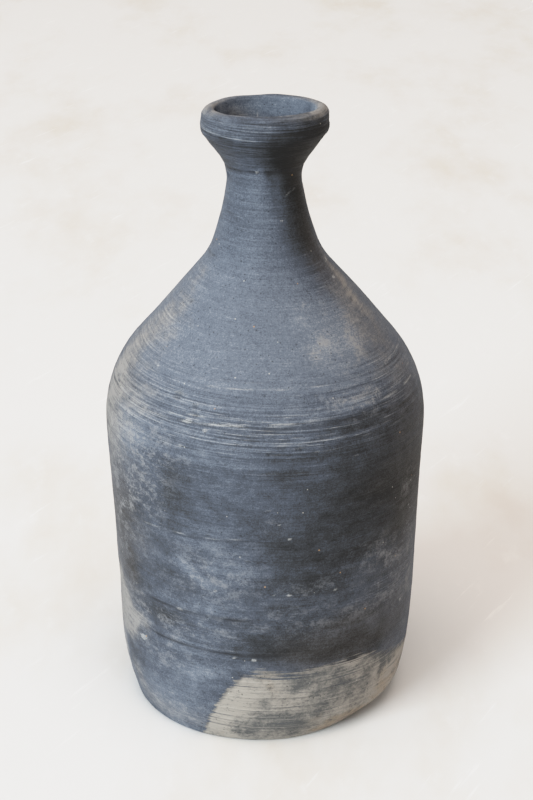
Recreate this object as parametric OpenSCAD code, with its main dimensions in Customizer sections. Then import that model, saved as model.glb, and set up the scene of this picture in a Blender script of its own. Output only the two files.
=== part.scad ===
// Hand-built black clay bottle, free standing on its flat base.
// The fired pot is a stack of clay sections, each luted to the one below on a ring-shaped joint face.
// Origin: the centre of the base. Z runs up the pot's axis. Millimetres.
// A corner is where two straight runs of the outline would meet if it weren't rounded off.

/* [Body] */
// Diameter of the flat base
base_d = 130; // [124:1:134]
// Diameter at the foot's corner
foot_d = 143; // [140:1:146]
// Height of the foot's corner
foot_h = 19.5; // [17:0.5:23]
// Diameter at the corner between wall and shoulder
body_d = 156; // [150:1:162]
// Height of the corner between wall and shoulder
body_h = 167.5; // [160:0.5:175]
// Rounding radius between wall and shoulder
shoulder_round = 62; // [40:1:66]

/* [Neck] */
// Diameter at the kink between shoulder and neck
neck_base_d = 53; // [49:1:57]
// Height of the kink between shoulder and neck, and of the joint between them
neck_base_h = 229; // [226:0.5:232]
// Diameter at the middle of the neck
neck_mid_d = 39; // [37:1:42]
// Height of the middle of the neck
neck_mid_h = 250.5; // [248:0.5:253]
// Diameter at the waist's corner, between neck and cup
waist_d = 32.6; // [32:0.2:35]
// Height of the waist's corner
waist_h = 269.2; // [268:0.2:270.4]
// Diameter of the straight throat inside the neck
throat_d = 22; // [18:0.5:23]
// Height where the throat starts to open downwards into the neck
throat_low_h = 251; // [248:0.5:253]
// Height where the throat starts to open upwards into the cup
throat_top_h = 270.5; // [269.5:0.5:271]

/* [Mouth] */
// Diameter at the corner between cup and lip
cup_d = 59.8; // [57:0.2:62]
// Height of the corner between cup and lip
cup_h = 287.8; // [287.2:0.1:288.6]
// Diameter inside the cup, level with that corner
cup_bore_d = 44; // [43:0.2:46]
// Diameter at the lip's outer top corner
lip_d = 58.2; // [56:0.2:60]
// Diameter of the mouth's opening, level with the crest
mouth_d = 46.8; // [45:0.2:47.6]
// Height of the lip's crest, which is the pot's height
pot_h = 300.5; // [297:0.5:302]

/* [Clay] */
// Thickness of the base slab
slab_t = 8; // [6.5:0.5:8]
// Thickness of the wall and the shoulder
wall_t = 6.4; // [5.4:0.2:7.4]

/* [Joints] */
// Height of the joint between base slab and foot
slab_joint_h = 8.5; // [8.5:0.5:9]
// Outside height of the joint between foot and lower wall
foot_joint_h = 52; // [40:1:70]
// Outside height of the joint between lower and upper wall
wall_joint_h = 113; // [90:1:130]
// Outside height of the joint between upper wall and shoulder
shoulder_joint_h = 172; // [160:1:185]
// Outside height of the joint between neck and cup
cup_joint_h = 272; // [270:0.5:274]
// Outside height of the joint between cup and lip
lip_joint_h = 290; // [288:0.5:291]
// How steeply the bevelled joint faces rise towards the axis, in degrees
joint_bevel = 20; // [10:1:24]

/* [Hidden] */

slate = [0.43, 0.46, 0.53];
charcoal = [0.31, 0.33, 0.38];
soot = [0.25, 0.26, 0.29];
ash = [0.6, 0.58, 0.55];

// Largest turn between two neighbouring points of a rounded corner, in degrees
arc_step = 4;
// A radius outside the pot, and a height that clears it
reach = 100;

base_corner = [base_d / 2, 0];
foot_corner = [foot_d / 2, foot_h];
body_corner = [body_d / 2, body_h];
neck_corner = [neck_base_d / 2, neck_base_h];
neck_middle = [neck_mid_d / 2, neck_mid_h];

// The corners on the way up the outside, from the base to the lip's crest, each with its rounding radius
outside = [
    [base_corner, 1.2],
    [foot_corner, 130],
    [body_corner, shoulder_round],
    [neck_corner, 40],
    [neck_middle, 120],
    [[waist_d / 2, waist_h], 19],
    [[cup_d / 2, cup_h], 7],
    [[lip_d / 2, pot_h], 4]
];

// The corners on the way down the inside, from the mouth to the slab
inside = [
    [[mouth_d / 2, pot_h], 2],
    [[cup_bore_d / 2, cup_h], 10],
    [[throat_d / 2, throat_top_h], 8],
    [[throat_d / 2, throat_low_h], 14],
    [inset(body_corner, neck_corner, neck_middle), 14],
    [inset(foot_corner, body_corner, neck_corner), shoulder_round - wall_t],
    [inset(base_corner, foot_corner, body_corner), 60],
    [[base_d / 2 - 4, slab_t], 9]
];

clay_outline = concat([[0, 0]], path([0, 0], outside, inside[0][0]),
    path(outside[len(outside) - 1][0], inside, [0, slab_t]), [[0, slab_t]]);

// Joint faces from the slab up to the lip, each as [outside height, bevel]
joints = [
    [slab_joint_h, 0],
    [foot_joint_h, joint_bevel],
    [wall_joint_h, joint_bevel],
    [shoulder_joint_h, joint_bevel],
    [neck_base_h, joint_bevel],
    [cup_joint_h, joint_bevel],
    [lip_joint_h, joint_bevel]
];

function unit(v) = v / norm(v);

// The unit vector to the left of the way from a to b, which on the way up the outside points into the clay
function left_of(a, b) = unit([a[1] - b[1], b[0] - a[0]]);

// Corner v of the way a-v-b, moved into the clay by the wall's thickness
function inset(a, v, b) =
    let (mean = unit(left_of(a, v) + left_of(v, b)))
    v + mean * wall_t / (mean * left_of(a, v));

// Corner v of the way a-v-b as the points of an arc of radius r
function rounded(a, v, b, r) =
    let (
        back = unit(a - v),
        ahead = unit(b - v),
        half = acos(back * ahead) / 2,
        centre = v + unit(back + ahead) * r / sin(half),
        first = v + back * r / tan(half) - centre,
        start = atan2(first[1], first[0]),
        turn = (180 - 2 * half) * sign(ahead[0] * back[1] - ahead[1] * back[0]),
        steps = ceil(abs(turn) / arc_step)
    )
    [for (i = [0:steps]) centre + r * [cos(start + turn * i / steps), sin(start + turn * i / steps)]];

// The rounded corners of a list, on a way that comes from point before and goes on to point after
function path(before, corners, after) = [
    for (i = [0:len(corners) - 1])
        each rounded(
            i == 0 ? before : corners[i - 1][0],
            corners[i][0],
            i == len(corners) - 1 ? after : corners[i + 1][0],
            corners[i][1]
        )
];

// Outside radius at height z, between the two outline points that enclose it on the way up
function outside_r(z) =
    let (
        i = [for (k = [0:len(clay_outline) - 2]) if (clay_outline[k + 1][1] > z) k][0],
        low = clay_outline[i],
        high = clay_outline[i + 1]
    )
    low[0] + (high[0] - low[0]) * (z - low[1]) / (high[1] - low[1]);

// Height of joint face i at radius r
function joint_z(i, r) =
    i < 0 ? -reach :
    i == len(joints) ? pot_h + reach :
    joints[i][0] + tan(joints[i][1]) * (outside_r(joints[i][0]) - r);

// The ring of clay between joint face i - 1 and joint face i
module section(i) {
    rotate_extrude($fn = 96)
        intersection() {
            polygon(clay_outline);
            polygon([
                [0, joint_z(i - 1, 0)],
                [reach, joint_z(i - 1, reach)],
                [reach, joint_z(i, reach)],
                [0, joint_z(i, 0)]
            ]);
        }
}

// The flat slab that the pot stands on
module base_slab() { color(ash) section(0); }
// The foot, curving out from the slab
module foot_wall() { color(slate) section(1); }
module lower_wall() { color(charcoal) section(2); }
// The upper wall, with the start of the turn into the shoulder
module upper_wall() { color(soot) section(3); }
module shoulder() { color(slate) section(4); }
// The neck, with the straight throat inside it
module neck() { color(slate) section(5); }
module mouth_cup() { color(charcoal) section(6); }
module lip() { color(slate) section(7); }

base_slab();
foot_wall();
lower_wall();
upper_wall();
shoulder();
neck();
mouth_cup();
lip();
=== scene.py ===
"""Looks of the hand-built black clay bottle: eight luted sections as finely turned meshes, and their clay."""

import math

import bpy
import numpy as np
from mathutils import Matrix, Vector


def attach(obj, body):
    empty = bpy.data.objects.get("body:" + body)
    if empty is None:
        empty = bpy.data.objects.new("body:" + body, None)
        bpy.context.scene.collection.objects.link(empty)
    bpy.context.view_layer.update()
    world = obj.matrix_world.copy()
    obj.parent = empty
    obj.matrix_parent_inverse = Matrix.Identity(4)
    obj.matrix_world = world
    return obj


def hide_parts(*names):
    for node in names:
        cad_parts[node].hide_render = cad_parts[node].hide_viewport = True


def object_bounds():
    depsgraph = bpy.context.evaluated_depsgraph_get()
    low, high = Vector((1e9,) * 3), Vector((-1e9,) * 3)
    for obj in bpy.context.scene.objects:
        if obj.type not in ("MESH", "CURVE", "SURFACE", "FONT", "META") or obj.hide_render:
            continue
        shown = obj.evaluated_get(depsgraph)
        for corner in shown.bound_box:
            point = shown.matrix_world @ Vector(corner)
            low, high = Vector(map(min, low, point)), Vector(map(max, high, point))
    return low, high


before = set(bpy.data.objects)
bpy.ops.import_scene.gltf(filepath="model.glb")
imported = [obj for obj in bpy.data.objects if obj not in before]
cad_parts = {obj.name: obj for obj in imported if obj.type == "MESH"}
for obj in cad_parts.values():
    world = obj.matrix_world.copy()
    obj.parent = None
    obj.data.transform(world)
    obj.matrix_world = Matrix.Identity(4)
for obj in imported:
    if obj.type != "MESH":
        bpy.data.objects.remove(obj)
cad_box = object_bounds()

MM = 0.001
HEIGHT = cad_box[1].z
# The sections from the table up, each luted to the one before it, with slot names that nothing here uses:
# every section gets the one clay
SLOTS = {
    "base_slab": "foot_clay",
    "foot_wall": "foot_clay",
    "lower_wall": "wall_clay",
    "upper_wall": "wall_clay",
    "shoulder": "shoulder_clay",
    "neck": "neck_clay",
    "mouth_cup": "neck_clay",
    "lip": "neck_clay",
}
SECTIONS = tuple(SLOTS)

# Light and camera
ROOM_LEFT = (0.54, 0.5, 0.46, 1)
ROOM_RIGHT = (0.34, 0.31, 0.28, 1)
ROOM_CEILING = (0.62, 0.56, 0.51, 1)
CEILING_LAMP_PLACE = (-0.3, -1.9, 7.7)
CEILING_LAMP_SIZE = (5.5, 5.5)
CEILING_LAMP_POWER = 410
CEILING_LAMP_COLOUR = (1.0, 0.9, 0.82)
WINDOW_PLACE = (-3.9, -3.96, 2.25)
WINDOW_TARGET = (0, 0, 0.15)
WINDOW_SIZE = (3.2, 1.6)
WINDOW_POWER = 440
WINDOW_COLOUR = (0.8, 0.93, 1.0)
FLOOR_SIZE = 8
CAMERA_BACK = 3.0128  # how far in front of the pot, in pot heights
CAMERA_UP = 1.7973  # how far above the table, in pot heights
CAMERA_DOWN = 23.194  # degrees that it looks down
CAMERA_LENS = 91.6  # mm, on a sensor 36 mm wide
CAMERA_SHIFT = 0.0019
# The film's response: brightness in the scene and in the picture
FILM_CURVE = [(0, 0), (0.4, 0.395), (0.7, 0.635), (0.9, 0.77), (1.15, 0.86), (1.6, 0.9)]

# Meshes
COLUMNS = 560  # mesh columns round the pot
FINE_STEP = 0.5 * MM  # spacing of the mesh rows outside and in the mouth
COARSE_STEP = 4 * MM  # spacing of the mesh rows deep inside
CURVE_STEP = 3 * MM  # longest stretch of the outline between two points of its smooth curve
DEEP = 262 * MM  # inside, rows are coarse below this height
SAME = 0.01 * MM  # points closer than this are one point
DISC_MIDDLE = 2 * MM  # radius of the face in the middle of a flat disc
DISC_ROWS = 16  # mesh rows across a flat disc
SHARP_ANGLE = 50  # degrees between faces that make an edge sharp


# ---------------------------------------------------------------- profile, read from the CAD sections


def distances(some, others):
    """The distance from each of some points to each of the others."""
    return np.linalg.norm(some[:, None] - others[None], axis=2)


def section_points(name):
    """A CAD section's cross-section: points as (radius, height), and the pairs of points that edges join."""
    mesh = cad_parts[name].data
    co = np.zeros(len(mesh.vertices) * 3, np.float32)
    mesh.vertices.foreach_get("co", co)
    co = co.reshape(-1, 3).astype(float)
    ends = np.zeros(len(mesh.edges) * 2, np.int32)
    mesh.edges.foreach_get("vertices", ends)
    flat = np.stack([np.hypot(co[:, 0], co[:, 1]), co[:, 2]], 1)
    keys = np.round(flat / SAME)
    _, first, key_of = np.unique(keys, axis=0, return_index=True, return_inverse=True)
    points = flat[first]
    same = (distances(points, points) < SAME).argmax(1)
    pairs = {tuple(sorted(pair)) for pair in same[key_of.ravel()][ends.reshape(-1, 2)].tolist()}
    return points, {pair for pair in pairs if pair[0] != pair[1]}


def joint_points(points, others):
    """Which of a section's points lie on its joint face with another section, straight in cross-section."""
    shared = points[distances(points, others).min(1) < SAME]
    first, last = shared[shared[:, 0].argmin()], shared[shared[:, 0].argmax()]
    along = (last - first) / np.linalg.norm(last - first)
    reach = (points - first) @ along
    aside = np.abs((points - first) @ np.array([-along[1], along[0]]))
    inside = (reach > -SAME) & (reach < np.linalg.norm(last - first) + SAME)
    return set(np.flatnonzero(inside & (aside < SAME)).tolist())


def chains(name, neighbours):
    """The parts of a cross-section that aren't on a joint face with a neighbour, the outer one first."""
    points, pairs = section_points(name)
    on_joint = [joint_points(points, section_points(other)[0]) for other in neighbours]
    links = {}
    for a, b in pairs:
        if not any(a in joint and b in joint for joint in on_joint):
            links.setdefault(a, []).append(b)
            links.setdefault(b, []).append(a)
    found = []
    while links:
        here = next(p for p in links if len(links[p]) == 1)
        walk = [here]
        while links.get(here):
            ahead = links.pop(here)[0]
            links[ahead].remove(here)
            walk.append(ahead)
            here = ahead
        links.pop(here)
        found.append(points[walk])
    return sorted(found, key=lambda chain: -chain[:, 0].mean())


def whole_profile():
    """The pot's outline up the outside, over the lip and down the inside, and where each section's stretches
    of it start and end: {section: [(first point, last point), ...]}."""
    outer, inner = [], []
    for i, name in enumerate(SECTIONS):
        found = chains(name, SECTIONS[max(i - 1, 0) : i] + SECTIONS[i + 1 : i + 2])
        upward = [chain[0, 1] < chain[-1, 1] for chain in found]
        found = [chain if upward[k] == (k == 0) else chain[::-1] for k, chain in enumerate(found)]
        outer.append((name, found[0]))
        if len(found) > 1:
            inner.insert(0, (name, found[1]))
    points = [outer[0][1][:1]]
    stretches = {name: [] for name in SECTIONS}
    for name, chain in outer + inner:
        first = sum(map(len, points)) - 1
        points.append(chain[1:])
        stretches[name].append((first, first + len(chain) - 1))
    return np.concatenate(points), stretches


def smooth_rows(points, first, last):
    """Finely spaced points along a stretch of the outline, on a smooth curve through its points."""
    cuts = [points[0]]
    ends = {}
    for i, (a, b) in enumerate(zip(points[:-1], points[1:])):
        ends[i] = len(cuts) - 1
        parts = math.ceil(np.linalg.norm(b - a) / CURVE_STEP)
        cuts += [a + (b - a) * k / parts for k in range(1, parts + 1)]
    ends[len(points) - 1] = len(cuts) - 1
    cuts = np.array(cuts)
    span = np.linalg.norm(np.diff(cuts, axis=0), axis=1)[:, None]
    slope = np.diff(cuts, axis=0) / span
    tangent = np.concatenate(
        [slope[:1], (slope[:-1] * span[1:] + slope[1:] * span[:-1]) / (span[1:] + span[:-1]), slope[-1:]]
    )
    rows = [cuts[ends[first]]]
    inner = len(points[:first]) > points[:, 1].argmax()
    for i in range(ends[first], ends[last]):
        step = COARSE_STEP if inner and cuts[i, 1] < DEEP else FINE_STEP
        parts = max(1, round(span[i, 0] / step))
        for k in range(1, parts + 1):
            t = k / parts
            rows.append(
                (1 + 2 * t) * (1 - t) ** 2 * cuts[i]
                + t * t * (3 - 2 * t) * cuts[i + 1]
                + span[i, 0] * (t * (1 - t) ** 2 * tangent[i] - t * t * (1 - t) * tangent[i + 1])
            )
    return np.array(rows)


# ---------------------------------------------------------------- relief of the clay


def smoothstep(low, high, x):
    t = np.clip((x - low) / (high - low), 0, 1)
    return t * t * (3 - 2 * t)


def noise(x, y, z, seed):
    """Smooth random values from -1 to 1 over a field of points, one random value per unit cell's corner."""
    p = np.stack(np.broadcast_arrays(x, y, z)).astype(float)
    low = np.floor(p)
    t = p - low
    t = t * t * t * (t * (6 * t - 15) + 10)
    low = low.astype(np.int64) & 0xFFFF
    total = 0
    for corner in range(8):
        offset = np.array([corner & 1, corner >> 1 & 1, corner >> 2 & 1]).reshape(3, *[1] * (p.ndim - 1))
        cell = low + offset
        mixed = (cell[0] * 73856093) ^ (cell[1] * 19349663) ^ (cell[2] * 83492791) ^ (seed * 2654435761)
        mixed = ((mixed ^ (mixed >> 13)) * 1274126177) & 0xFFFFFFFF
        value = ((mixed ^ (mixed >> 16)) & 0xFFFF) / 32767.5 - 1
        weight = np.where(offset == 1, t, 1 - t)
        total = total + value * weight[0] * weight[1] * weight[2]
    return total


def around(angle, height, across, up, seed, radius=70 * MM):
    """Noise on a cylinder, with features about across by up in size."""
    x = np.cos(angle) * radius / across + 40.5
    y = np.sin(angle) * radius / across + 40.5
    return noise(x, y, height / up + 90.5, seed)


def bump(angle, height, at, wide, z, tall):
    """A soft bump, 1 at its middle. at and wide are in degrees round the pot, z and tall in millimetres."""
    off = (np.degrees(angle) - at + 180) % 360 - 180
    return np.exp(-((off / wide) ** 2) - ((height / MM - z) / tall) ** 2)


# Broad swells, and dents below 0: degrees round from the front towards +X, half width in degrees, and then
# height, half height and how far they stand out, in mm
SWELLS = (
    (-80, 30, 95, 26, -0.7),
    (-80, 35, 140, 18, -0.1),
    (80, 35, 85, 20, 0.35),
    (20, 40, 110, 30, -0.3),
    (150, 40, 60, 30, 0.5),
    (-150, 45, 125, 30, -0.5),
    (110, 35, 150, 25, -0.1),
    (80, 40, 185, 15, -0.3),
    (-60, 35, 225, 12, -0.3),
    (90, 40, 240, 18, -0.4),
    (82, 40, 220, 9, -0.6),
    (-80, 35, 197, 10, -0.5),
)

# How far the heel is worn back at the table, in mm by degrees round, and how far up the wear goes, in mm
WORN_HEEL = ((-180, 0), (-30, 0.2), (10, 1.8), (32, 4.8), (48, 7.0), (70, 6.6), (95, 4.5), (130, 0.5))
WORN_HEEL += ((180, 0),)
WORN_HEIGHT = 13

# How far the axis strays to the right, by height, in mm
AXIS = ((0, 0), (25, 0.1), (60, 0.7), (88, 0), (120, 0), (146, 0.05), (185, 0.6), (205, 0.9), (225, 0.5))
AXIS += ((245, 0), (256, -0.2), (268, -0.6), (278, -0.2), (290, 0), (298, 0.2))

# The mouth's lean: its rise per metre to the right and to the back, and where it starts and where it is full
LEAN_RIGHT = 0.017
LEAN_BACK = -0.0525
LEAN_START = 250 * MM
LEAN_FULL = 292 * MM
# How far the crest sinks in mm, so that the leaning lip stays under the CAD's height, and from where up
CREST_SINKS = 2.4
SINKS_FROM = 284 * MM
# Where the lip's crest starts outside, and where the bowl's own look is complete inside
CREST_START = 296 * MM
BOWL_TOP = 298.7 * MM
# Over which heights the relief sets in: outside, inside, where it is half as strong, and in the bowl, to full
OUTER_RELIEF = (0.5 * MM, 4 * MM)
INNER_RELIEF = (14 * MM, 30 * MM)
BOWL_RELIEF = (280 * MM, 296 * MM)

# Where the mouth's crest is rubbed pale, how pale the bowl inside is, its dust and its one pale scratch, in
# the form of the clouds further down. The bowl's first two clouds are painted light on the right inner wall,
# which faces the window, and painted shade on the left one, in the shadow of the lip.
RUBBED_CREST = ((80, 50, 298, 20, 1.1), (-90, 40, 298, 20, 0.8))
BOWL_CLOUDS_AND_PAINTED_LIGHT = (
    # Painted light on the right inner wall, then painted shade on the left inner wall
    (95, 40, 298, 7, 1.0),
    (-92, 28, 290, 14, -0.8),
    (-150, 20, 294, 8, 0.5),
    (180, 50, 288, 3, -0.3),
    (118, 12, 295, 5, -0.5),
    (-125, 24, 297, 2.5, 0.5),
)
BOWL_DUST = ((-140, 16, 290, 5, 0.7),)
BOWL_SCRATCH = ((-171, 1.1, 288, 4, 0.9),)

# Lines left by the wiping hand and the joints: first and last degree, and in mm the height at the front, the
# climb from there to the right side, half width and how proud they stand, then shade, -1 (dark) to 1 (pale).
# The dark of the grooves is painted shade, and the pale of the ridges is partly pale clay and partly a
# painted highlight.
LINES = (
    (-50, -4, 71.1, 0, 0.8, -0.35, -1.0),
    (-48, -8, 72.6, 0, 0.6, 0.1, 0.4),
    (-38, -12, 64.6, 0, 0.6, 0.08, 0.5),
    (-52, -8, 53.9, 0.5, 0.6, 0.12, 0.5),
    (-52, 8, 52.0, 0, 0.7, -0.3, -1.0),
    (-51, 2, 115.6, 5.5, 0.5, 0.15, 0.9),
    (0, 34, 115.6, 4, 0.5, 0.1, 0.35),
    (-45, 0, 114.5, 5.5, 0.5, -0.1, -0.5),
    (-61, -43, 142.8, 0.3, 0.5, 0.06, 0.7),
    (-14, 21, 148.6, 0, 0.4, 0.08, 0.5),
    (-12, 18, 147.2, 0, 0.4, -0.06, -0.3),
    (-10, 50, 157.6, 0.5, 0.4, 0.08, 0.35),
    (-18, 60, 159.9, 1, 0.4, 0.1, 0.55),
    (-22, 56, 162.3, 1, 0.4, 0.12, 0.6),
    (-30, 40, 164.4, 1, 0.4, 0.06, 0.4),
    (-5, 52, 168.4, 2.4, 1.0, -0.3, -0.7),
    (-75, -30, 169.6, 2, 0.4, 0.12, 0.9),
    (-74, -26, 171.2, 1.2, 0.35, 0.06, 0.7),
    (-74, -34, 167.2, 1.6, 0.35, 0.06, 0.6),
    (-72, -40, 174.6, 0.8, 0.35, 0.06, 0.6),
    (-70, -44, 165.0, 1, 0.35, 0.06, 0.5),
    (-70, -46, 158.6, 0.6, 0.35, 0.05, 0.5),
    (-68, -48, 152.0, 0.4, 0.35, 0.05, 0.5),
    (12, 80, 175.4, 1.4, 0.35, 0.06, 0.5),
    (20, 82, 179.4, 1.2, 0.35, 0.06, 0.4),
    (-20, 60, 181.6, 1.0, 0.35, 0.05, 0.35),
    (-60, 40, 186.8, 0.6, 0.35, 0.05, 0.35),
    (-32, 84, 170.4, 2.6, 0.6, 0.22, 1.0),
    (-75, -5, 172.4, 0.5, 0.5, 0.15, 0.9),
    (2, 46, 173.6, 1, 0.5, 0.1, 0.6),
    (-72, -14, 177, 0.5, 0.4, 0.08, 0.6),
    (-73, -20, 179.4, 0.5, 0.4, 0.06, 0.5),
    (-65, -20, 182.5, 0.8, 0.4, 0.06, 0.4),
    (-74, 84, 184.4, 0.8, 0.45, 0.1, 0.7),
    (-90, -60, 230, 0, 0.6, -0.12, -0.7),
    (-72, -40, 251, 0.5, 0.5, -0.1, -0.6),
    (26, 58, 254.3, 9.8, 0.5, 0.05, 0.5),
    (-90, 90, 271.4, 0, 0.7, -0.3, -1.0),
    (-20, 4, 272.4, 0, 0.5, 0.15, 0.6),
    (-90, 90, 283.2, 0, 0.5, 0.04, 0.1),
    (-90, 90, 279.6, 0, 0.35, -0.05, -0.7),
    (-90, 90, 285.2, 0, 0.35, -0.09, -1.0),
    (-90, 90, 286.7, 0.1, 0.28, -0.08, -0.9),
    (-90, 90, 288.0, 0.2, 0.28, -0.1, -1.0),
    (-90, 90, 289.3, 0.3, 0.28, -0.08, -0.9),
    (-90, 90, 290.5, 0.3, 0.28, -0.1, -1.0),
    (-90, 90, 291.8, 0.3, 0.28, -0.08, -0.9),
    (-90, 90, 293.1, 0.3, 0.28, -0.08, -0.8),
    (-90, 90, 294.4, 0.3, 0.28, -0.07, -0.8),
    (-90, 90, 295.7, 0.3, 0.28, -0.08, -0.8),
    (-90, 90, 297.0, 0.3, 0.28, -0.08, -0.8),
    (-90, 90, 298.3, 0.3, 0.28, -0.06, -0.7),
    (95, 200, 171.5, -3, 0.6, 0.2, 0.9),
    (130, 265, 168.6, 1.5, 0.5, 0.15, 0.8),
    (85, 285, 184.0, 0.8, 0.45, 0.1, 0.6),
    (90, 270, 271.4, 0, 0.7, -0.3, -1.0),
    (90, 270, 285.2, 0, 0.5, -0.2, -0.9),
    (90, 270, 291.0, -0.4, 0.5, 0.15, 0.5),
    (120, 190, 112.6, -3, 0.6, -0.25, -0.8),
    (170, 250, 53.2, 1, 0.7, -0.25, -0.8),
    (200, 262, 131, 3, 0.5, 0.12, 0.6),
    (100, 160, 70, 4, 0.6, 0.1, 0.5),
)

# How pale the clay came from the fire, in stops from its middling grey: by height in mm, and then clouds, as
# degrees round, half width, height, half height, stops. The dark clouds on the right, from about 26 to 76
# degrees round, are partly fire clouding and partly painted shade on the side away from the window.
PALENESS = ((0, 0.2), (40, 0), (150, 0), (165, 0.2), (182, 0.7), (215, 0.7), (235, 0.45))
PALENESS += ((262, 0.2), (270, -0.2), (274, -0.9), (286, -0.9), (290, 0.2), (HEIGHT / MM, 0.5))
CLOUDS = (
    (-62, 26, 203, 24, 0.5),
    # Dark on the right of the neck and lip: partly fire clouding, partly painted shade
    (60, 36, 256, 24, -1.8),
    (50, 24, 240, 14, -0.5),
    (40, 24, 268, 10, -0.8),
    (60, 42, 281, 8, -2.6),
    (26, 16, 282, 12, -0.5),
    (56, 34, 294, 6, -1.8),
    (22, 16, 293, 5, -0.4),
    (-30, 20, 293, 5, 0.3),
    (48, 18, 203, 12, 0.5),
    (-50, 14, 204, 12, -0.3),
    (-12, 24, 256, 15, 0.3),
    (-24, 30, 278, 9, 0.6),
    (25, 12, 208, 18, 0.2),
    (-62, 16, 146, 26, 0.2),
    (-58, 14, 108, 16, -0.5),
    (-37, 9, 134, 18, -0.7),
    (-42, 18, 157, 8, 0.5),
    (-16, 10, 128, 12, -0.3),
    (-14, 12, 125, 40, 0.1),
    # Dark on the right of the body: partly fire clouding, partly painted shade
    (38, 26, 138, 36, -1.3),
    (60, 24, 130, 14, -0.9),
    (38, 14, 122, 10, -0.4),
    (0, 12, 112, 8, -0.6),
    (5, 22, 90, 7, -0.3),
    (14, 14, 104, 12, -0.6),
    (42, 40, 104, 10, -0.6),
    (18, 18, 88, 7, -0.5),
    (62, 26, 160, 12, -0.6),
    (25, 25, 166, 4, -0.5),
    (35, 9, 148, 7, 0.4),
    (66, 12, 114, 12, -0.8),
    (76, 10, 128, 18, -0.6),
    (55, 6, 100, 5, 0.4),
    (5, 7, 76, 5, -0.5),
    (-45, 7, 66, 5, -0.3),
    (35, 9, 64, 5, -0.4),
    (-74, 8, 100, 8, -0.3),
    (45, 9, 220, 8, -0.3),
    (74, 18, 72, 24, 0.4),
    (30, 22, 70, 12, -0.4),
    (-33, 4, 99, 3.5, 0.6),
    (-29, 4, 94.5, 3.5, 0.7),
    (-24, 4, 89.5, 3.5, 0.8),
    (-19, 5, 87, 3.5, 0.6),
    (-13, 8, 98, 9, 0.7),
    (-24, 13, 77, 5, 0.5),
    (-55, 12, 92, 16, -0.4),
    (-60, 13, 78, 9, -0.7),
    (-44, 10, 64, 6, -0.8),
    (-25, 8, 63, 4, 0.4),
    (-24, 6, 78, 5, 0.4),
    (-55, 8, 98, 8, 0.6),
    (-37, 8, 88, 6, -0.5),
    (-37, 8, 136, 8, -0.4),
    (-58, 8, 154, 12, 0.6),
    (36, 10, 173, 3, 1.3),
    (36, 8, 196, 5, 0.5),
    (-60, 12, 156, 12, 0.4),
    (-45, 8, 112, 6, 0.4),
    (-25, 8, 112, 6, 0.4),
    (-66, 7, 64, 6, 0.4),
    (4, 10, 171, 4, -0.3),
    (-34, 24, 248, 14, -0.3),
    (56, 10, 234, 8, -0.6),
    (-16, 40, 293, 5, 0.5),
    (4, 12, 268, 4, 0.4),
    (-25, 4, 30, 6, 0.5),
    (-27, 7, 40, 6, 1.0),
    (-28, 12, 53, 4, 0.5),
    (-77, 8, 22, 12, 1.0),
    (5, 16, 58, 9, -0.9),
    (-2, 14, 51, 5, -0.5),
    (36, 26, 52, 7, -0.8),
    (24, 24, 48, 5, -0.4),
    (46, 14, 48, 7, -0.3),
    (-40, 20, 12, 12, 0.6),
    (-62, 9, 27, 8, -0.7),
    (0, 20, 147, 9, -0.2),
    (125, 30, 110, 42, -0.9),
    (168, 24, 192, 26, 0.3),
    (205, 34, 82, 28, 0.5),
    (240, 24, 150, 30, -0.8),
    (150, 20, 40, 20, -0.5),
    (215, 20, 62, 14, 0.5),
    (180, 40, 255, 20, -0.6),
    (250, 24, 215, 20, 0.3),
    (180, 30, 140, 12, 0.5),
)

# Buff dust rubbed along the surface, in the same form, with an amount. Over 1 it only reaches further.
# Along the left edge, from about -80 to -74 degrees round, it is partly dust and partly a painted sheen where
# the window's light grazes.
DUST_AND_SHEEN = (
    # Along the left edge: partly dust, partly painted sheen
    (-74, 12, 154, 18, 0.7),
    (-56, 12, 174, 3, 0.4),
    (-60, 14, 168, 2.5, 0.4),
    (-80, 10, 174, 14, 0.9),
    (-76, 12, 198, 18, 0.35),
    (-78, 12, 100, 30, 0.25),
    (-78, 6, 66, 6, 1.5),
    (-69, 6, 59, 6, 1.6),
    (-59, 5, 51, 4.5, 1.6),
    (-68, 9, 45, 7, 1.5),
    (-78, 7, 26, 14, 0.8),
    (-60, 6, 18, 8, 0.4),
    (-42, 26, 8, 8, 0.4),
    (28, 8, 196, 4, 0.4),
    (38, 8, 175, 1.6, 0.5),
    (60, 30, 180, 4, 0.2),
    (78, 9, 214, 16, 0.8),
    (75, 14, 60, 20, 0.25),
    (150, 28, 168, 10, 0.6),
    (222, 30, 175, 8, 0.6),
    (182, 24, 122, 20, 0.4),
    (250, 18, 60, 24, 0.5),
    (120, 16, 200, 8, 0.4),
)

# Where the slate grey turns brownish, in the same form
WARMTH = (
    (-66, 14, 130, 50, 0.9),
    (-70, 16, 80, 30, 0.8),
    (-74, 16, 200, 30, 0.5),
    (66, 22, 110, 60, 0.8),
    (30, 28, 54, 18, 1.0),
    (66, 22, 230, 60, 0.8),
    (40, 24, 276, 10, 0.5),
    (150, 50, 90, 60, 0.4),
    (230, 40, 150, 60, 0.6),
)

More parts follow.
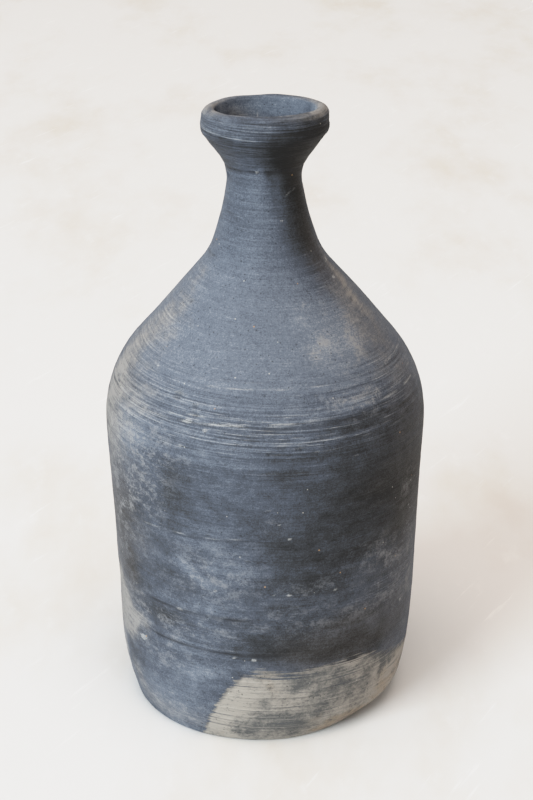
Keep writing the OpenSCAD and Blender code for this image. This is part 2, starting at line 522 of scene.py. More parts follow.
# Pale blotches where the surface is scuffed, in the same form
SCUFFS = (
    (-62, 14, 140, 26, 0.9),
    (-66, 9, 104, 14, 0.8),
    (-48, 14, 152, 14, 0.8),
    (-50, 10, 122, 8, 0.5),
    (-56, 14, 62, 14, 0.4),
    (-42, 16, 44, 10, 0.5),
    (-22, 14, 93, 14, 0.6),
    (-34, 20, 62, 7, 0.4),
    (-46, 22, 14, 10, 0.5),
    (66, 7, 124, 7, 0.5),
    (56, 20, 96, 8, 0.5),
    (62, 14, 80, 12, 0.4),
    (48, 6, 196, 4, 1.2),
    (40, 10, 198, 7, 0.8),
    (30, 6, 197, 5, 0.7),
    (28, 6, 213, 4, 0.6),
    (58, 10, 208, 6, 0.6),
    (67, 6, 201, 3, 0.8),
    (40, 9, 174, 5, 1.3),
    (30, 16, 175, 4, 0.5),
    (-74, 12, 215, 14, 0.5),
    (14, 16, 86, 4, 0.4),
    (5, 5, 122, 4, 0.5),
    (20, 60, 70, 8, 0.3),
    (140, 20, 130, 20, 0.6),
    (200, 24, 110, 24, 0.6),
    (250, 16, 120, 30, 0.7),
    (170, 20, 200, 10, 0.5),
)

# Bands of fine pale lines from the wiping hand, in the same form
WIPED_BANDS = (
    (-50, 32, 174, 9, 1.0),
    (0, 44, 162, 6, 1.2),
    (-14, 44, 171, 4, 0.9),
    (42, 34, 176, 8, 0.9),
    (-74, 18, 205, 22, 0.7),
    (-72, 18, 150, 14, 0.8),
    (62, 22, 186, 5, 0.5),
    (48, 16, 222, 16, 0.6),
    (8, 24, 148, 4, 0.5),
    (0, 90, 293, 6, 0.6),
    (-30, 50, 278, 8, 0.4),
    (-28, 24, 60, 10, 0.4),
    (-20, 40, 248, 20, 0.4),
    (55, 22, 76, 16, 0.5),
    (180, 90, 293, 6, 0.6),
    (180, 80, 172, 10, 0.9),
    (140, 40, 148, 8, 0.6),
    (230, 40, 60, 10, 0.5),
    (200, 60, 222, 16, 0.4),
)

# The patches that turned buff again in the fire: their upper edge in mm by degrees round
FIRED_PATCHES = (
    (
        (-28, 0), (-21, 17), (-16, 32), (-9, 43), (0, 44.5), (42, 42),
        (52, 38), (62, 34), (78, 30), (100, 20), (114, 0),
    ),
    ((172, 0), (186, 26), (204, 33), (222, 16), (234, 0)),
)

# Smoky stains in the patches, with clean places below 0, and orange flashes, in the form of the clouds
SMOKE = (
    (10, 16, 10, 9, 0.8),
    (22, 12, 20, 6, 0.6),
    (-8, 12, 9, 6, 0.3),
    (26, 16, 37, 3.5, 0.5),
    (50, 9, 34, 4, 0.7),
    (60, 6, 30, 5, 0.6),
    (-3, 6, 24, 6, 0.6),
    (27, 9, 29, 5, 1.0),
    (40, 5, 22, 8, 0.8),
    (50, 2.5, 33, 6, 1.3),
    (56, 2, 30, 4, 0.9),
    (62, 3, 19, 3, 1.1),
    (38, 12, 40, 3, 0.9),
    (47, 2, 26, 7, 0.9),
    (52, 9, 14, 9, -1.3),
    (30, 8, 31, 3, 0.4),
    (47, 8, 24, 8, -0.6),
    (4, 5, 15, 6, 0.7),
    (66, 10, 24, 8, -0.5),
    (-14, 4, 18, 12, -0.4),
    (13, 2.5, 34, 1.6, 1.0),
    (20, 12, 37, 3, 0.4),
    (76, 8, 14, 9, 0.5),
    (96, 10, 18, 8, 0.6),
    (205, 12, 14, 8, 0.6),
)
FLASHES = (
    (31, 13, 6, 3.5, 0.9),
    (20, 8, 13, 3, 0.5),
    (54, 8, 17, 8, 0.5),
    (38, 12, 5, 3, 0.5),
    (66, 8, 22, 8, 0.3),
    (-16, 5, 6, 5, 0.4),
    (3, 6, 36, 4, 0.3),
    (190, 9, 9, 5, 0.7),
)

# Pits and chips, and grit that stands proud: degrees round, and then height, radius and how proud they stand
# (below 0 for a pit), in mm
SPOTS = (
    (-36, 178.2, 1.6, -0.7),
    (-26, 172.6, 1.3, -0.7),
    (-27, 175.6, 0.9, -0.4),
    (2, 158.0, 1.2, -0.5),
    (5, 157.4, 0.9, -0.4),
    (12, 159.6, 1.3, -0.5),
    (18, 157.0, 0.9, -0.4),
    (-39, 113.2, 1.1, -0.4),
    (-20, 114.6, 0.8, -0.3),
    (-68, 267.6, 1.2, -0.4),
    (74, 285.0, 2.2, -0.9),
    (-33, 71.9, 1.3, 0.4),
    (-55, 45.0, 2.0, 0.3),
    (-18, 86.0, 0.9, 0.3),
    (26, 84.4, 1.1, 0.3),
    (8.5, 85.6, 0.9, 0.3),
    (3, 85.4, 0.7, 0.25),
    (5, 122.6, 1.0, 0.2),
    (-12, 50.8, 0.8, 0.25),
    (-29, 169.0, 1.3, 0.4),
    (-22, 166.5, 0.9, 0.3),
    (-10, 271.8, 1.0, 0.4),
    (150, 120.0, 1.6, -0.6),
    (200, 160.0, 1.3, -0.5),
    (240, 90.0, 1.1, 0.3),
)
LOOSE_SPOTS = 90

# How deep the fine wiped lines are, by height in mm
WIPED = ((0, 0.8), (140, 0.8), (155, 1.3), (180, 1.3), (194, 0.35), (232, 0.35), (245, 0.6), (268, 0.8))
WIPED += ((276, 1.2), (284, 2.2), (289, 3.4), (297, 3.4), (HEIGHT / MM, 1.5))
# How mottled the fire left the clay, in the same way
MOTTLED = ((0, 1), (165, 1), (185, 0.4), (260, 0.4), (298, 0.6))


def spots():
    """The spots above, and more of them strewn over the pot at random."""
    chance = np.random.default_rng(11)
    strewn = [
        (
            chance.uniform(-180, 180),
            chance.uniform(6, 280),
            chance.uniform(0.45, 0.9),
            chance.choice([-0.3, -0.2, 0.15, 0.2]) * chance.uniform(0.6, 1.2),
        )
        for _ in range(LOOSE_SPOTS)
    ]
    return list(SPOTS) + strewn


def by_height(height, table):
    return np.interp(height / MM, *zip(*table))


def total_of(table, angle, height):
    """The soft bumps of a table, added up."""
    return sum(amount * bump(angle, height, at, wide, z, tall) for at, wide, z, tall, amount in table)


def line_marks(angle, height):
    """The lines' relief in mm, and how pale and how dark they leave the clay: the dark is painted shade in
    the grooves, and the pale is partly pale clay and partly a painted highlight on the ridges.
    """
    proud, pale, dark = 0, 0, 0
    wander = 0.35 * around(angle, height, 25 * MM, 12 * MM, 5)
    wander = wander + 0.15 * around(angle, height, 8 * MM, 5 * MM, 6)
    rubbed = smoothstep(-0.3, 0.45, around(angle, height, 9 * MM, 1.5 * MM, 7))
    uneven = smoothstep(-0.6, 0.4, around(angle, height, 6 * MM, 3 * MM, 16))
    for first, last, z, climb, half, depth, shade in LINES:
        middle, reach = (first + last) / 2, (last - first) / 2
        off = np.abs((np.degrees(angle) - middle + 180) % 360 - 180)
        fade_from, fade_to = (3, -6) if reach < 90 else (1, -1)
        share = smoothstep(reach + fade_from, reach + fade_to, off)
        share = share * np.exp(-(((height / MM - z - climb * np.sin(angle) + wander) / half) ** 2))
        share = share * (0.45 + 0.55 * uneven)
        proud = proud + depth * share
        # Pale on the ridges, partly a painted highlight, and dark in the grooves, painted shade
        pale = pale + max(shade, 0) * share * (0.2 + 0.8 * rubbed)
        dark = dark + max(-shade, 0) * share
    return proud, pale, dark


def spot_marks(angle, height):
    """The spots' relief in mm, and how pale and how dark they leave the clay: painted shade in the pits, a
    painted highlight on the rim above each pit, and proud grit pale, partly its own colour and partly a
    painted highlight.
    """
    proud, pale, dark = np.zeros_like(height), np.zeros_like(height), np.zeros_like(height)
    outline = profile[: profile[:, 1].argmax()]
    radius = np.interp(height.ravel(), outline[:, 1], outline[:, 0])
    radius = radius.reshape(height.shape) / MM
    ragged = around(angle, height, 1.6 * MM, 1.2 * MM, 14)
    ragged = ragged + 0.6 * around(angle, height, 3.2 * MM, 2.6 * MM, 15)
    for at, z, size, depth in spots():
        near = np.abs(height / MM - z) < 3 * size
        off = (np.degrees(angle[near]) - at + 180) % 360 - 180
        far = np.hypot(np.radians(off) * radius[near] * 0.75, (height[near] / MM - z) * 1.2) / size
        core = smoothstep(1.3, 0.4, far + 0.7 * ragged[near])
        proud[near] += depth * core
        if depth < 0:
            upper_edge = smoothstep(0, size, height[near] / MM - z)
            # Painted shade in the pit, and a painted highlight on its rim above
            dark[near] += 0.45 * core
            pale[near] += 0.4 * smoothstep(1.9, 1.1, far + ragged[near]) * upper_edge
        else:
            # Proud grit is pale, partly its own colour and partly a painted highlight
            pale[near] += 0.9 * core
    return proud, pale, dark


def marks(angle, height, outside):
    """The look of the clay at points of the surface, as named fields, and the relief that goes with it in mm.
    outside tells which points are on the outside."""
    shift = 1.6 * around(angle, height, 16 * MM, 12 * MM, 8)
    shift = shift + 0.7 * around(angle, height, 6 * MM, 4 * MM, 9)
    drift = 7 * around(angle, height, 20 * MM, 18 * MM, 10)
    drift = drift + 2.5 * around(angle, height, 7 * MM, 5 * MM, 12)
    bent = angle + np.radians(drift)
    moved = height + 1.6 * shift * MM
    fired = 0
    for top in FIRED_PATCHES:
        degrees = (np.degrees(angle) - top[0][0] + 60 + 0.35 * drift) % 360 + top[0][0] - 60
        edge = np.interp(degrees, *zip(*top), left=-30, right=-30) - height / MM + 0.7 * shift
        fired = np.maximum(fired, smoothstep(-5, 5, edge))
    line_relief, line_pale, line_dark = line_marks(angle, height)
    spot_relief, spot_pale, spot_dark = spot_marks(angle, height)
    crest = smoothstep(CREST_START, HEIGHT, height)
    rubbed = total_of(RUBBED_CREST, bent, height)
    broken = smoothstep(-0.7, 0.5, around(angle, height, 5 * MM, 5 * MM, 17))
    # A painted highlight: a thin pale band along the flat top of the crest, broken here and there
    crest_highlight = smoothstep(HEIGHT - 0.4 * MM, HEIGHT, height) * broken
    fields = {
        "tone": by_height(moved, PALENESS) + total_of(CLOUDS, bent, moved) + 0.8 * crest * (rubbed - 0.6),
        "mottled": by_height(height, MOTTLED),
        "warm": np.clip(total_of(WARMTH, bent, moved), 0, 1),
        "dust_and_sheen": np.clip(total_of(DUST_AND_SHEEN, bent, moved) + crest * rubbed, 0, 1),
        "scuffed": np.clip(total_of(SCUFFS, bent, moved), 0, 1),
        "wiped_band": np.clip(total_of(WIPED_BANDS, bent, moved), 0, 1),
        "wiped": by_height(height, WIPED),
        # pale also holds painted highlights on the crest, the ridges and the pits' rims, and dark holds
        # painted shade in the grooves and pits
        "pale": np.clip(line_pale + spot_pale + 0.5 * crest_highlight, 0, 1),
        "dark": np.clip(line_dark + spot_dark, 0, 1),
        "fired": fired,
        "smoke": np.clip(total_of(SMOKE, bent, moved), -1, 1.3),
        "flash": np.clip(total_of(FLASHES, bent, moved), 0, 1),
    }
    deep = smoothstep(HEIGHT, BOWL_TOP, height)
    # The bowl's tone, with painted light on its right wall and painted shade on its left
    bowl_tone_and_light = 0.5 + 0.6 * around(angle, height, 14 * MM, 10 * MM, 13) + total_of(BOWL_CLOUDS_AND_PAINTED_LIGHT, bent, moved)
    inner = dict.fromkeys(fields, 0.0)
    inner["tone"] = fields["tone"] + (bowl_tone_and_light - fields["tone"]) * deep
    inner["mottled"] = 0.6
    inner["dust_and_sheen"] = np.clip((1 - deep) * rubbed + total_of(BOWL_DUST, bent, moved), 0, 1)
    inner["wiped"] = fields["wiped"] + (0.3 - fields["wiped"]) * deep
    inner["pale"] = total_of(BOWL_SCRATCH, angle, height)
    fields = {key: np.where(outside, fields[key], inner[key]) for key in fields}
    return fields, (line_relief + spot_relief) * outside


def relief(angle, height, outside, wiped, marked):
    """How far the surface stands proud of the turned profile, in metres. marked is the marks' part, in mm."""
    total = 0.35 * around(angle, height, 60 * MM, 55 * MM, 1)
    total = total + 0.14 * around(angle, height, 22 * MM, 14 * MM, 2)
    for at, wide, z, tall, depth in SWELLS:
        total += depth * bump(angle, height, at, wide, z, tall)
    rows = around(angle, height, 90 * MM, 2.8 * MM, 3)
    rows = rows + 0.7 * around(angle, height, 70 * MM, 1.3 * MM, 4)
    total += 0.075 * wiped * rows + marked
    inner = np.maximum(0.5, smoothstep(*BOWL_RELIEF, height)) * smoothstep(*INNER_RELIEF, height)
    settled = np.where(outside, smoothstep(*OUTER_RELIEF, height), inner)
    return total * settled * MM


def tilt(x, y, z):
    """The mouth isn't level: its right and its front stand a little higher than its left and its back."""
    share = smoothstep(LEAN_START, LEAN_FULL, z)
    return z + share * (LEAN_RIGHT * x + LEAN_BACK * y) - smoothstep(SINKS_FROM, HEIGHT, z) * CREST_SINKS * MM


# ---------------------------------------------------------------- the sections as meshes


def turned(rows, outside):
    """Mesh points for rows of the outline, all the way round, as an array (row, column, xyz), and their look
    as named fields. outside tells which rows are on the outside. Angle 0 is the front, -Y."""
    angle = np.linspace(0, 2 * np.pi, COLUMNS, endpoint=False)[None]
    along = np.gradient(rows, axis=0)
    along /= np.linalg.norm(along, axis=1)[:, None]
    radius, height = rows[:, :1] + 0 * angle, rows[:, 1:] + 0 * angle
    angle = angle + 0 * radius
    fields, marked = marks(angle, height, outside)
    proud = relief(angle, height, outside, fields["wiped"], marked)
    low = np.clip(1 - height / (WORN_HEIGHT * MM), 0, 1) ** 2 * outside
    worn = np.interp((np.degrees(angle) + 180) % 360 - 180, *zip(*WORN_HEEL)) * MM
    radius = radius * (1 - low * worn / profile[1, 0])
    radius = radius + proud * along[:, 1:]
    height = height - proud * along[:, :1]
    x, y = radius * np.sin(angle) + by_height(height, AXIS) * MM, -radius * np.cos(angle)
    return np.stack([x, y, tilt(x, y, height)], 2), fields


def disc_rows(radius, height):
    """Rows that close a flat disc, from near its middle out to its edge."""
    return np.array([(r, height) for r in np.linspace(DISC_MIDDLE, radius, DISC_ROWS, endpoint=False)])


def make_section(name):
    """A section as one closed mesh. Its faces run over its joint faces, and over the slab's flat discs."""
    outer, *inner = [smooth_rows(profile, first, last) for first, last in stretches[name]]
    closed = name != SECTIONS[0]
    if not closed:
        outer = np.concatenate([disc_rows(*outer[0]), outer])
        inner = [np.concatenate([inner[0], disc_rows(*inner[0][-1])[::-1]])]
    outside = np.arange(len(outer))[:, None] <= outer[:, 1].argmax()
    made = [turned(outer, outside)] + [turned(rows, False) for rows in inner]
    points = np.concatenate([part for part, _ in made])
    count = len(points)
    index = np.arange(count * COLUMNS).reshape(count, COLUMNS)
    above = np.roll(index, -1, axis=0) if closed else index[1:]
    here = index if closed else index[:-1]
    quads = np.stack([here, np.roll(here, -1, axis=1), np.roll(above, -1, axis=1), above], 2).reshape(-1, 4)
    faces = quads.tolist()
    if not closed:
        faces += [index[0, ::-1].tolist(), index[-1].tolist()]
    mesh = bpy.data.meshes.new(name + "_clay")
    mesh.from_pydata(points.reshape(-1, 3).tolist(), [], faces)
    mesh.shade_smooth()
    mesh.set_sharp_from_angle(angle=math.radians(SHARP_ANGLE))
    for key in made[0][1]:
        values = np.concatenate([fields[key] for _, fields in made]).ravel().astype(np.float32)
        mesh.attributes.new(key, "FLOAT", "POINT").data.foreach_set("value", values)
    piece = bpy.data.objects.new(name + "_clay", mesh)
    bpy.context.scene.collection.objects.link(piece)
    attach(piece, "root")
    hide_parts(name)
    return piece


# ---------------------------------------------------------------- materials


class Recipe:
    """A node material under construction."""

    def __init__(self, name):
        self.material = bpy.data.materials.new(name)
        self.material.use_nodes = True
        self.tree = self.material.node_tree
        self.shader = self.tree.nodes["Principled BSDF"]

    def add(self, kind, inputs=None, **settings):
        """Adds a node. inputs are values or other nodes' outputs, by socket name or number."""
        node = self.tree.nodes.new("ShaderNode" + kind)
        for key, value in settings.items():
            setattr(node, key, value)
        for key, value in (inputs or {}).items():
            self.feed(node.inputs[key], value)
        return node

    def feed(self, socket, value):
        if isinstance(value, bpy.types.NodeSocket):
            self.tree.links.new(value, socket)
        else:
            socket.default_value = value

    def math(self, operation, a, b=0.0, c=0.0):
        return self.add("Math", {0: a, 1: b, 2: c}, operation=operation).outputs[0]

    def turn(self, place, axis, angle):
        inputs = {"Vector": place, "Angle": angle}
        return self.add("VectorRotate", inputs, rotation_type=axis).outputs[0]

    def noise(self, place, cells, detail=3.0, roughness=0.6):
        """Noise with so many cells to the metre along x, y and z, spread from about -0.5 to 0.5."""
        scaled = self.add("VectorMath", {0: place, 1: cells}, operation="MULTIPLY").outputs[0]
        inputs = {"Vector": scaled, "Scale": 1.0, "Detail": detail, "Roughness": roughness}
        return self.math("SUBTRACT", self.add("TexNoise", inputs).outputs[0], 0.5)

    def field(self, name):
        return self.add("Attribute", attribute_name=name).outputs["Fac"]

    def step(self, value, low, high):
        inputs = {"Value": value, "From Min": low, "From Max": high}
        return self.add("MapRange", inputs, interpolation_type="SMOOTHSTEP").outputs["Result"]

    def mix(self, share, a, b):
        return self.add("Mix", {"Factor": share, "A": a, "B": b}, data_type="RGBA").outputs["Result"]

    def ramp(self, value, stops):
        node = self.add("ValToRGB", {0: value})
        elements = node.color_ramp.elements
        while len(elements) < len(stops):
            elements.new(0.5)
        for element, (position, colour) in zip(elements, stops):
            element.position = position
            element.color = (*colour, 1)
        return node.outputs["Color"]

    def specks(self, place, cells, chance, size):
        """Small round specks, in that share of the cells."""
        grid = self.add("TexVoronoi", {"Vector": place, "Scale": cells})
        lucky = self.add("SeparateColor", {0: grid.outputs["Color"]}).outputs[0]
        near = self.step(grid.outputs["Distance"], size, 0.6 * size)
        return self.math("MULTIPLY", near, self.math("GREATER_THAN", lucky, 1 - chance))


# The clay's colour by paleness, from two stops below its middling grey to two above
CLAY_RAMP = (
    (0.0, (0.012, 0.0122, 0.0125)),
    (0.25, (0.033, 0.036, 0.042)),
    (0.5, (0.061, 0.072, 0.096)),
    (0.75, (0.123, 0.144, 0.182)),
    (1.0, (0.27, 0.29, 0.32)),
)
# Buff dust, also the colour of a painted sheen along the left edge
BUFF_DUST_AND_SHEEN = (0.3, 0.283, 0.265, 1)
PALE_LINE = (0.32, 0.325, 0.33, 1)
# Soot for the fired patches' dark rims and the pores, and the painted shade in grooves and pits
SOOT_AND_SHADE = (0.016, 0.016, 0.018, 1)
FIRED_BUFF = (0.325, 0.297, 0.262, 1)
FIRED_GREY = (0.062, 0.066, 0.07, 1)
FIRED_PALE = (0.42, 0.39, 0.35, 1)
PALE_SLATE = (0.245, 0.245, 0.25, 1)
WARM_TINT = (1.12, 0.99, 0.86, 1)
FIRED_ORANGE = (0.32, 0.255, 0.19, 1)
WHITE_GRIT = (0.5, 0.48, 0.44, 1)
ORANGE_GRIT = (0.42, 0.25, 0.12, 1)
CLAY_ROUGHNESS = 0.62
CLAY_SHINE = 0.15
CLAY_BUMP = 0.35 * MM  # height of the finest bumps
WIPING_SLANT = -0.03  # radians that the wiped lines lean
PLASTER = (0.81, 0.81, 0.81, 1)
PLASTER_BLOTCH = (0.705, 0.665, 0.615, 1)
PLASTER_TROWELLED = (0.89, 0.89, 0.89, 1)
PLASTER_SCRATCH = (0.95, 0.95, 0.95, 1)
PLASTER_ROUGHNESS = 0.85
PLASTER_BUMP = 0.5 * MM
SCRATCH_SLANT = 0.5  # radians that the plaster's scratches lean


def make_clay():
    """Black clay from a smoky fire: slate grey and soot in clouds, wiped in fine lines round the pot, with
    buff dust, fired patches and grit. Also painted in: shade in the grooves, the pits and the bowl's left
    wall, highlights on the crest, the ridges and the pits' rims, light on the bowl's right wall, and a sheen
    with the dust along the left edge. The dark clouds on the right are partly painted shade. The fields
    stored on the meshes say where each shows."""
    r = Recipe("black_clay")
    here = r.add("TexCoord").outputs["Object"]
    turning = r.turn(here, "Y_AXIS", WIPING_SLANT)
    bands = r.noise(turning, (8, 8, 330), 4)
    lines = r.noise(turning, (22, 22, 1300), 4, 0.65)
    hairs = r.noise(turning, (90, 90, 2600), 3)
    flecks = r.noise(here, (330, 330, 900), 3)
    clouds = r.noise(here, (28, 28, 40), 6, 0.62)
    mottle = r.noise(here, (130, 130, 200), 5, 0.65)
    grain = r.noise(here, (1500, 1500, 1900), 3, 0.7)
    crumbs = r.noise(here, (620, 620, 760), 4, 0.7)

    wiped = r.field("wiped")
    streaks = r.math("MULTIPLY", wiped, r.math("MULTIPLY_ADD", lines, 1.5, bands))
    tone = r.math("ADD", r.field("tone"), streaks)
    uneven = r.math("MULTIPLY_ADD", clouds, 1.8, r.math("MULTIPLY", mottle, 2.2))
    tone = r.math("MULTIPLY_ADD", uneven, r.field("mottled"), tone)
    tone = r.math("MULTIPLY_ADD", r.math("MULTIPLY", lines, r.field("wiped_band")), 3.5, tone)
    for part, stops in ((hairs, 0.9), (crumbs, 1.6), (grain, 3.0)):
        tone = r.math("MULTIPLY_ADD", part, stops, tone)
    colour = r.ramp(r.math("MULTIPLY_ADD", tone, 0.25, 0.5), CLAY_RAMP)

    tint = r.math("ADD", r.field("warm"), r.math("MULTIPLY_ADD", clouds, 0.9, mottle))
    tinted = {"Factor": 1.0, "A": colour, "B": WARM_TINT}
    warmed = r.add("Mix", tinted, data_type="RGBA", blend_type="MULTIPLY")
    colour = r.mix(r.step(tint, 0.1, 0.9), colour, warmed.outputs["Result"])
    speckled = r.math("MULTIPLY_ADD", grain, 0.5, r.math("MULTIPLY", mottle, 1.6))
    speckled = r.math("MULTIPLY_ADD", crumbs, 0.8, speckled)
    blotched = r.math("MULTIPLY", r.field("scuffed"), r.step(speckled, -0.04, 0.32))
    flecked = r.math("MULTIPLY", r.field("scuffed"), r.step(flecks, 0.08, 0.26))
    scuffs = r.math("MAXIMUM", r.math("MULTIPLY", blotched, 0.9), r.math("MULTIPLY", flecked, 0.6))
    colour = r.mix(scuffs, colour, PALE_SLATE)

    broken = r.math("MULTIPLY_ADD", lines, 1.6, mottle)
    broken = r.math("ADD", broken, r.math("MULTIPLY_ADD", crumbs, 0.8, hairs))
    # Buff dust, which along the left edge is partly a painted sheen
    dust_and_sheen_share = r.math("MULTIPLY", r.field("dust_and_sheen"), r.math("MULTIPLY_ADD", broken, 1.6, 0.9))
    dust_and_sheen = r.math("MULTIPLY", r.step(dust_and_sheen_share, 0.0, 1.0), 0.75)
    colour = r.mix(dust_and_sheen, colour, BUFF_DUST_AND_SHEEN)

    near_patch = r.step(r.field("fired"), 0.02, 0.4)
    frayed = r.math("MULTIPLY", r.math("MULTIPLY_ADD", lines, 3.0, mottle), near_patch)
    fired = r.step(r.math("ADD", frayed, r.field("fired")), 0.35, 0.65)
    patchy = r.math("MULTIPLY_ADD", mottle, 2.6, r.math("MULTIPLY", clouds, 1.8))
    smoky = r.math("ADD", r.field("smoke"), r.math("MULTIPLY_ADD", crumbs, 1.8, patchy))
    flashed = r.math("MULTIPLY_ADD", mottle, 2.0, r.math("MULTIPLY_ADD", clouds, 1.2, r.field("flash")))
    buff = r.mix(r.step(flashed, 0.1, 0.9), FIRED_BUFF, FIRED_ORANGE)
    buff = r.mix(r.math("MULTIPLY", r.step(smoky, -0.3, 1.3), 0.92), buff, FIRED_GREY)
    buff = r.mix(r.math("MULTIPLY", r.step(lines, 0.02, 0.2), 0.5), buff, FIRED_PALE)
    buff = r.mix(r.math("MULTIPLY", r.step(lines, -0.02, -0.2), 0.6), buff, FIRED_GREY)
    buff = r.mix(r.math("MULTIPLY", r.step(hairs, 0.05, 0.3), 0.4), buff, FIRED_GREY)
    sooty = r.step(r.math("ADD", flecks, r.math("ADD", crumbs, mottle)), 0.1, 0.38)
    buff = r.mix(r.math("MULTIPLY", sooty, 0.6), buff, FIRED_GREY)
    rim = r.math("MULTIPLY", r.step(r.field("fired"), 0.95, 0.5), r.step(mottle, 0.2, -0.15))
    buff = r.mix(r.math("MULTIPLY", rim, 0.6), buff, SOOT_AND_SHADE)
    buff = r.mix(r.step(grain, 0.0, 0.6), buff, FIRED_PALE)
    colour = r.mix(fired, colour, buff)

    wiped_lines = r.math("MULTIPLY", r.field("wiped_band"), r.step(r.math("ADD", lines, hairs), 0.05, 0.32))
    pale = r.math("MAXIMUM", r.field("pale"), r.math("MULTIPLY", wiped_lines, 0.75))
    chalky = r.math("MULTIPLY_ADD", grain, 2.0, r.math("MULTIPLY_ADD", hairs, 2.0, 0.8))
    pale = r.math("MULTIPLY", pale, chalky)
    colour = r.mix(r.step(pale, 0.05, 1.1), colour, PALE_LINE)
    # Painted shade in the grooves and pits
    colour = r.mix(r.math("MULTIPLY", r.field("dark"), 0.8), colour, SOOT_AND_SHADE)
    colour = r.mix(r.math("MULTIPLY", r.specks(here, 520.0, 0.012, 0.2), 0.7), colour, WHITE_GRIT)
    colour = r.mix(r.math("MULTIPLY", r.specks(here, 400.0, 0.006, 0.2), 0.7), colour, ORANGE_GRIT)
    pores = r.specks(here, 560.0, 0.16, 0.24)
    colour = r.mix(r.math("MULTIPLY", pores, 0.6), colour, SOOT_AND_SHADE)
    r.feed(r.shader.inputs["Base Color"], colour)

    rough = r.math("MULTIPLY_ADD", dust_and_sheen, 0.2, r.math("MULTIPLY_ADD", lines, 0.5, CLAY_ROUGHNESS))
    r.feed(r.shader.inputs["Roughness"], rough)
    r.shader.inputs["Specular IOR Level"].default_value = CLAY_SHINE

    surface = r.math("MULTIPLY_ADD", hairs, 0.4, r.math("MULTIPLY", streaks, 0.9))
    surface = r.math("MULTIPLY_ADD", grain, 0.5, r.math("MULTIPLY_ADD", mottle, 0.8, surface))
    surface = r.math("MULTIPLY_ADD", pores, -0.6, surface)
    bumped = r.add("Bump", {"Height": surface, "Strength": 0.8, "Distance": CLAY_BUMP})
    r.feed(r.shader.inputs["Normal"], bumped.outputs["Normal"])
    return r.material


def make_plaster():
    """Smooth white plaster with faint warm blotches, trowel marks and slanted scratches."""
    r = Recipe("plaster")
    here = r.add("TexCoord").outputs["Object"]
    slanted = r.turn(here, "Z_AXIS", SCRATCH_SLANT)
    blotches = r.noise(here, (8, 3.5, 8), 5, 0.6)
    trowel = r.noise(here, (60, 25, 40), 6, 0.65)
    scratches = r.noise(slanted, (160, 12, 40), 4, 0.6)
    colour = r.mix(r.step(blotches, -0.05, 0.28), PLASTER, PLASTER_BLOTCH)
    colour = r.mix(r.step(trowel, 0.05, 0.4), colour, PLASTER_TROWELLED)
    colour = r.mix(r.math("MULTIPLY", r.step(scratches, 0.13, 0.24), 0.6), colour, PLASTER_SCRATCH)
    r.feed(r.shader.inputs["Base Color"], colour)
    r.shader.inputs["Roughness"].default_value = PLASTER_ROUGHNESS
    bumped = r.add("Bump", {"Height": trowel, "Strength": 0.3, "Distance": PLASTER_BUMP})
    r.feed(r.shader.inputs["Normal"], bumped.outputs["Normal"])
    return r.material


# ---------------------------------------------------------------- stage, lights and camera


def make_stage():
    bpy.ops.mesh.primitive_plane_add(size=FLOOR_SIZE)
    floor = bpy.context.object
    floor.name = "plaster_floor"
    floor.data.materials.append(make_plaster())


def add_area_light(name, place, target, size, power, colour):
    """A rectangular lamp at a place, turned towards its target."""
    lamp = bpy.data.lights.new(name, "AREA")
    lamp.shape = "RECTANGLE"
    lamp.size, lamp.size_y = size
    lamp.energy = power
    lamp.color = colour
    holder = bpy.data.objects.new(name, lamp)
    bpy.context.scene.collection.objects.link(holder)
    holder.location = place
    aim = np.array(target) - np.array(place)
    holder.rotation_euler = Vector(aim.tolist()).to_track_quat("-Z", "Y").to_euler()
    return holder


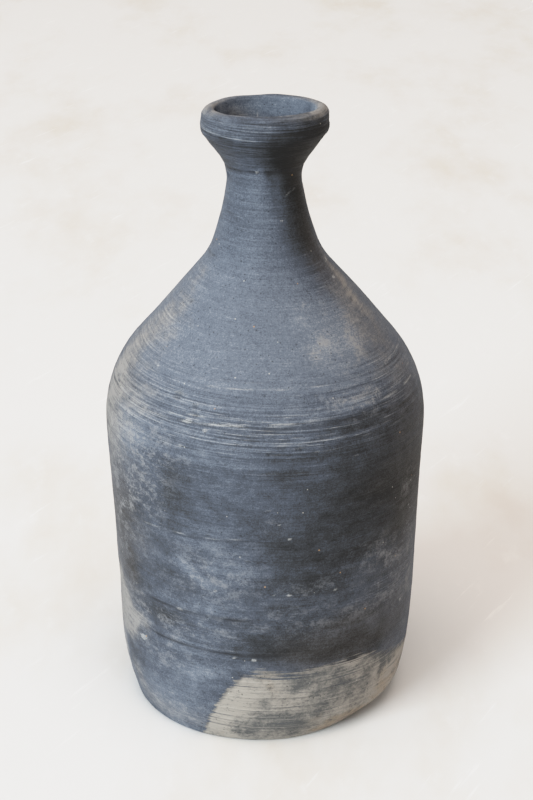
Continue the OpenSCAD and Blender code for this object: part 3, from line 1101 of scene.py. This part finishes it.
def make_lights():
    """A room with a pale ceiling and a dim right side, a broad lamp overhead and a cool window."""
    world = bpy.data.worlds.new("room")
    bpy.context.scene.world = world
    world.use_nodes = True
    tree = world.node_tree
    direction = tree.nodes.new("ShaderNodeTexCoord")
    parts = tree.nodes.new("ShaderNodeSeparateXYZ")
    side = tree.nodes.new("ShaderNodeMapRange")
    side.inputs["From Min"].default_value = -0.8
    side.inputs["From Max"].default_value = 0.4
    height = tree.nodes.new("ShaderNodeMath")
    height.operation = "POWER"
    height.inputs[1].default_value = 1.5
    height.use_clamp = True
    walls = tree.nodes.new("ShaderNodeMix")
    walls.data_type = "RGBA"
    walls.inputs["A"].default_value = ROOM_LEFT
    walls.inputs["B"].default_value = ROOM_RIGHT
    room = tree.nodes.new("ShaderNodeMix")
    room.data_type = "RGBA"
    room.inputs["B"].default_value = ROOM_CEILING
    tree.links.new(direction.outputs["Generated"], parts.inputs[0])
    tree.links.new(parts.outputs["X"], side.inputs["Value"])
    tree.links.new(parts.outputs["Z"], height.inputs[0])
    tree.links.new(side.outputs["Result"], walls.inputs["Factor"])
    tree.links.new(walls.outputs["Result"], room.inputs["A"])
    tree.links.new(height.outputs[0], room.inputs["Factor"])
    tree.links.new(room.outputs["Result"], tree.nodes["Background"].inputs["Color"])
    add_area_light("window", WINDOW_PLACE, WINDOW_TARGET, WINDOW_SIZE, WINDOW_POWER, WINDOW_COLOUR)
    lamp = (CEILING_LAMP_PLACE, (0, 0, 0), CEILING_LAMP_SIZE, CEILING_LAMP_POWER, CEILING_LAMP_COLOUR)
    add_area_light("ceiling_lamp", *lamp)


def make_camera():
    """Looks down on the pot from the front, from three pot heights in front of it."""
    lens = bpy.data.cameras.new("camera")
    lens.lens = CAMERA_LENS
    lens.sensor_width = 36
    lens.shift_x = CAMERA_SHIFT
    camera = bpy.data.objects.new("camera", lens)
    bpy.context.scene.collection.objects.link(camera)
    camera.location = (0, -CAMERA_BACK * HEIGHT, CAMERA_UP * HEIGHT)
    camera.rotation_euler = (math.radians(90 - CAMERA_DOWN), 0, 0)
    bpy.context.scene.camera = camera


def set_film():
    """Standard colours with a soft shoulder, so that the white floor keeps its tone and doesn't burn out."""
    view = bpy.context.scene.view_settings
    view.view_transform = "Standard"
    view.use_curve_mapping = True
    mapping = view.curve_mapping
    mapping.clip_max_x = FILM_CURVE[-1][0]
    curve = mapping.curves[3]
    curve.points[0].location = FILM_CURVE[0]
    curve.points[1].location = FILM_CURVE[-1]
    for point in FILM_CURVE[1:-1]:
        curve.points.new(*point)
    mapping.update()


profile, stretches = whole_profile()
sections = [make_section(name) for name in SECTIONS]
make_stage()
make_lights()
make_camera()
set_film()

clay = make_clay()
for piece in sections:
    piece.data.materials.append(clay)
